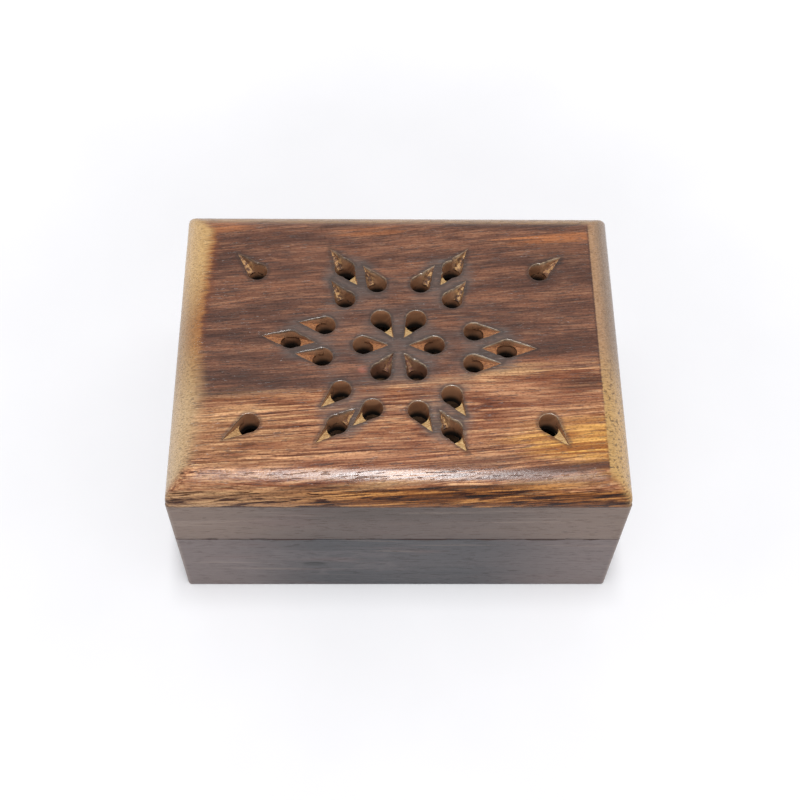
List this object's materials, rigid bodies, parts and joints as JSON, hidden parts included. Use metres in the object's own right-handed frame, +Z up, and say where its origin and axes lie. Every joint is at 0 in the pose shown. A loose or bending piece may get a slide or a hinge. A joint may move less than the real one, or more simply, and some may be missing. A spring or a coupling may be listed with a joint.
{
  "type": "spice box",
  "caption": "Hinged wooden box whose rounded lid is pierced by carved drops set out as a star, so that the scent of the spices kept inside comes out.",
  "frame": {"origin": "middle of the underside, on the surface that the box stands on", "axes": "+X along the length to the right as seen from the front, +Y from the front to the hinged back, +Z up"},
  "size_m": [0.1016, 0.0762, 0.0508],
  "materials": {
    "carved_board": "dark streaked rosewood, oiled and waxed, with fresh pale cuts and dark stain round the carved drops",
    "lid_wood": "brown rosewood with fine grain along its length, waxed",
    "base_wood": "dark grey-brown rosewood with fine grain along its length, waxed",
    "hinge_brass": "plain rolled brass, lightly tarnished",
    "screw_brass": "turned brass, slotted heads"
  },
  "bodies": {
    "base": {"bottom_board": "base_wood", "base_front_wall": "base_wood", "base_back_wall": "base_wood", "base_left_wall": "base_wood", "base_right_wall": "base_wood", "left_hinge_base_leaf": "hinge_brass", "right_hinge_base_leaf": "hinge_brass", "left_hinge_pin": "hinge_brass", "right_hinge_pin": "hinge_brass", "base_hinge_screws": "screw_brass"},
    "lid": {"lid_top_board": "carved_board", "lid_front_rail": "lid_wood", "lid_back_rail": "lid_wood", "lid_left_rail": "lid_wood", "lid_right_rail": "lid_wood", "left_hinge_lid_leaf": "hinge_brass", "right_hinge_lid_leaf": "hinge_brass", "lid_hinge_screws": "screw_brass"}
  },
  "joints": [
    {"name": "lid_hinge", "type": "hinge", "parent": "base", "child": "lid", "pos_m": [0, 0.0359, 0.027], "axis": [-1, 0, 0], "range_deg": [0, 100]}
  ]
}
